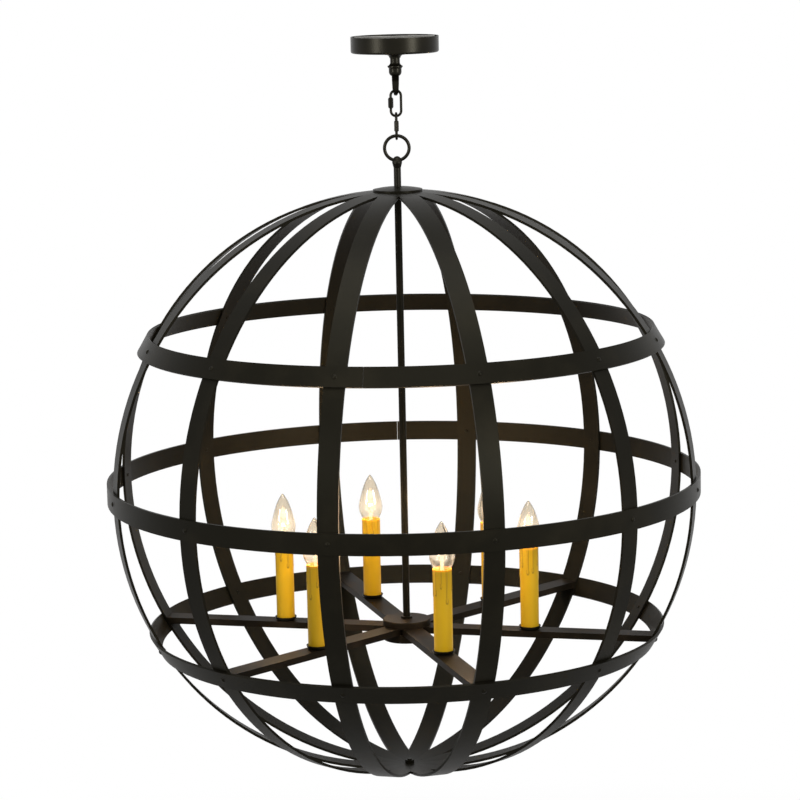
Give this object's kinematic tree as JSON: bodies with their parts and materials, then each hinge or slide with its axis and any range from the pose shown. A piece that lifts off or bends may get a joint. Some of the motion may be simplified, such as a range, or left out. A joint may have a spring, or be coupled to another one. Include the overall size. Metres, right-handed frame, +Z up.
{
  "type": "orb chandelier",
  "caption": "Round open cage of dark metal straps hung from a canopy on two quick links, with candle lamps on flat arms around a central rod.",
  "frame": {"origin": "centre of the crossbar's two ceiling slots, on its top face in the ceiling plane and on the hanging axis", "axes": "+Z up out of the ceiling face, +X along the crossbar, -Y towards the viewer of the picture"},
  "size_m": [0.74, 0.7399, 0.9259],
  "materials": {
    "dark_iron": "dark bronze-black satin over plain steel strap",
    "plain_steel": "plain steel with a dull grey plating",
    "candle_cover": "amber candle cover with wax-like drips",
    "lamp_glass": "clear pointed lamp",
    "socket_plastic": "black moulded lamp holder"
  },
  "bodies": {
    "ceiling_mount": {"crossbar": "plain_steel", "mount_nipple": "plain_steel", "mount_nut": "plain_steel", "canopy_loop": "dark_iron"},
    "canopy": {"canopy": "dark_iron", "canopy_collar": "dark_iron"},
    "upper_link": {"upper_link": "dark_iron"},
    "upper_sleeve": {"upper_sleeve": "dark_iron"},
    "lower_link": {"lower_link": "dark_iron"},
    "lower_sleeve": {"lower_sleeve": "dark_iron"},
    "orb": {"hang_loop": "dark_iron", "centre_rod": "dark_iron", "top_cap": "dark_iron", "top_inner_plate": "dark_iron", "rod_nuts": "dark_iron", "foot_cap": "dark_iron", "foot_screw": "dark_iron", "foot_nut": "dark_iron", "hub_boss": "dark_iron", "hub_pan": "dark_iron", "rivets": "dark_iron", "candle_cups": "dark_iron", "rib_01": "dark_iron", "rib_02": "dark_iron", "rib_03": "dark_iron", "rib_04": "dark_iron", "rib_05": "dark_iron", "rib_06": "dark_iron", "rib_07": "dark_iron", "rib_08": "dark_iron", "rib_09": "dark_iron", "rib_10": "dark_iron", "rib_11": "dark_iron", "rib_12": "dark_iron", "ring_upper": "dark_iron", "ring_equator": "dark_iron", "ring_lower": "dark_iron", "arm_1": "dark_iron", "candle_cover_1": "candle_cover", "arm_2": "dark_iron", "candle_cover_2": "candle_cover", "arm_3": "dark_iron", "candle_cover_3": "candle_cover", "arm_4": "dark_iron", "candle_cover_4": "candle_cover", "arm_5": "dark_iron", "candle_cover_5": "candle_cover", "arm_6": "dark_iron", "candle_cover_6": "candle_cover", "candle_nipples": "plain_steel", "candle_nuts": "plain_steel", "sockets": "socket_plastic"},
    "lamp_1": {"lamp_1": "lamp_glass"},
    "lamp_2": {"lamp_2": "lamp_glass"},
    "lamp_3": {"lamp_3": "lamp_glass"},
    "lamp_4": {"lamp_4": "lamp_glass"},
    "lamp_5": {"lamp_5": "lamp_glass"},
    "lamp_6": {"lamp_6": "lamp_glass"}
  },
  "joints": [
    {"name": "canopy_drop", "type": "slide", "parent": "ceiling_mount", "child": "canopy", "axis": [0, 0, -1], "range_m": [0, 0.005]},
    {"name": "upper_link_swing", "type": "hinge", "parent": "ceiling_mount", "child": "upper_link", "pos_m": [0, 0, -0.0702], "axis": [0, 1, 0], "range_deg": [-25, 25]},
    {"name": "upper_sleeve_open", "type": "slide", "parent": "upper_link", "child": "upper_sleeve", "axis": [0, 0, -1], "range_m": [0, 0.003]},
    {"name": "lower_link_swing", "type": "hinge", "parent": "upper_link", "child": "lower_link", "pos_m": [0, 0, -0.0974], "axis": [1, 0, 0], "range_deg": [-25, 25]},
    {"name": "lower_sleeve_open", "type": "slide", "parent": "lower_link", "child": "lower_sleeve", "axis": [0, 0, -1], "range_m": [0, 0.003]},
    {"name": "orb_swing", "type": "hinge", "parent": "lower_link", "child": "orb", "pos_m": [0, 0, -0.1254], "axis": [0, 1, 0], "range_deg": [-20, 20]},
    {"name": "lamp_1_lift", "type": "slide", "parent": "orb", "child": "lamp_1", "axis": [0, 0, 1], "range_m": [0, 0.03]},
    {"name": "lamp_2_lift", "type": "slide", "parent": "orb", "child": "lamp_2", "axis": [0, 0, 1], "range_m": [0, 0.03]},
    {"name": "lamp_3_lift", "type": "slide", "parent": "orb", "child": "lamp_3", "axis": [0, 0, 1], "range_m": [0, 0.03]},
    {"name": "lamp_4_lift", "type": "slide", "parent": "orb", "child": "lamp_4", "axis": [0, 0, 1], "range_m": [0, 0.03]},
    {"name": "lamp_5_lift", "type": "slide", "parent": "orb", "child": "lamp_5", "axis": [0, 0, 1], "range_m": [0, 0.03]},
    {"name": "lamp_6_lift", "type": "slide", "parent": "orb", "child": "lamp_6", "axis": [0, 0, 1], "range_m": [0, 0.03]}
  ]
}
